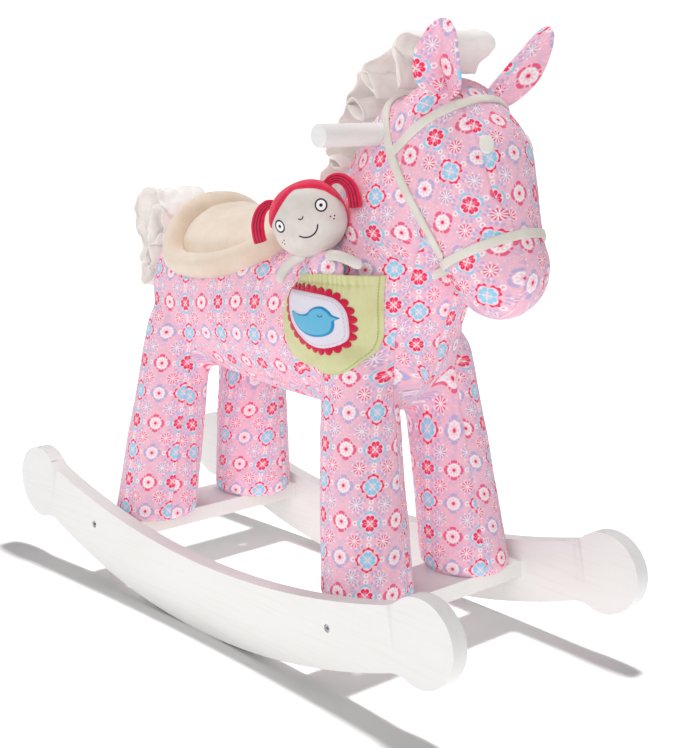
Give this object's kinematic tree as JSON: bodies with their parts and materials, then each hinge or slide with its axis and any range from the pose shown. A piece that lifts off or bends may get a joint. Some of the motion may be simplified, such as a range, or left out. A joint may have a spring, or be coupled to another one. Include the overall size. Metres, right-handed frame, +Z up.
{
  "type": "rocking horse",
  "caption": "Padded toy horse with a wooden handle bar, saddle and side pocket with a rag doll, on four legs over two bow rockers joined by foot boards.",
  "frame": {"origin": "centre of the bounding box's base: on the floor, under the middle of the rockers", "axes": "+X towards the horse's nose, +Y to its left, +Z up"},
  "size_m": [0.74, 0.288, 0.6389],
  "materials": {
    "white_wood": "satin white paint on birch plywood",
    "bare_wood": "raw birch",
    "steel": "zinc-plated",
    "stuffing": "polyester fibre",
    "printed_cotton": "brushed printed cotton",
    "cream_fabric": "soft twill",
    "suede": "faux suede",
    "bridle_tape": "cotton tape",
    "lime_cotton": "cotton twill",
    "red_felt": "felt",
    "white_felt": "cotton",
    "blue_satin": "embroidered cotton",
    "doll_skin": "brushed cotton",
    "doll_hair": "felt and ribbed tape"
  },
  "bodies": {
    "horse": {"rocker_right": "white_wood", "rocker_left": "white_wood", "foot_board_front": "white_wood", "foot_board_rear": "white_wood", "rocker_bolts": "steel", "barrel_nuts": "steel", "board_dowels": "bare_wood", "leg_bolts": "steel", "foot_plates": "bare_wood", "leg_post_front_right": "bare_wood", "leg_post_front_left": "bare_wood", "leg_post_rear_right": "bare_wood", "leg_post_rear_left": "bare_wood", "cross_rail_front": "bare_wood", "cross_rail_rear": "bare_wood", "spine_rail": "bare_wood", "seat_board": "bare_wood", "neck_board": "bare_wood", "frame_screws": "steel", "handle": "white_wood", "handle_screw": "steel", "torso_padding": "stuffing", "neck_padding": "stuffing", "head_padding": "stuffing", "leg_padding_front_right": "stuffing", "leg_padding_front_left": "stuffing", "leg_padding_rear_right": "stuffing", "leg_padding_rear_left": "stuffing", "torso_cover": "printed_cotton", "neck_cover": "printed_cotton", "head_cover": "printed_cotton", "leg_cover_front_right": "printed_cotton", "leg_cover_front_left": "printed_cotton", "leg_cover_rear_right": "printed_cotton", "leg_cover_rear_left": "printed_cotton", "ear_right": "printed_cotton", "ear_left": "printed_cotton", "eye_patches": "bridle_tape", "mane": "cream_fabric", "tail": "cream_fabric", "saddle_rim": "suede", "saddle_seat": "suede", "cheek_strap_right": "bridle_tape", "cheek_strap_left": "bridle_tape", "browband": "bridle_tape", "noseband": "bridle_tape", "pocket_bag": "lime_cotton", "pocket_band": "lime_cotton", "badge_felt": "red_felt", "badge_patch": "white_felt", "badge_bird": "blue_satin"},
    "doll": {"doll_head": "doll_skin", "doll_hair": "doll_hair", "doll_pigtails": "doll_hair", "doll_dress": "printed_cotton", "doll_arms": "doll_skin"}
  },
  "joints": [
    {"name": "doll_lift", "type": "slide", "parent": "horse", "child": "doll", "axis": [-0.4512, 0, 0.8924], "range_m": [0, 0.1]}
  ]
}
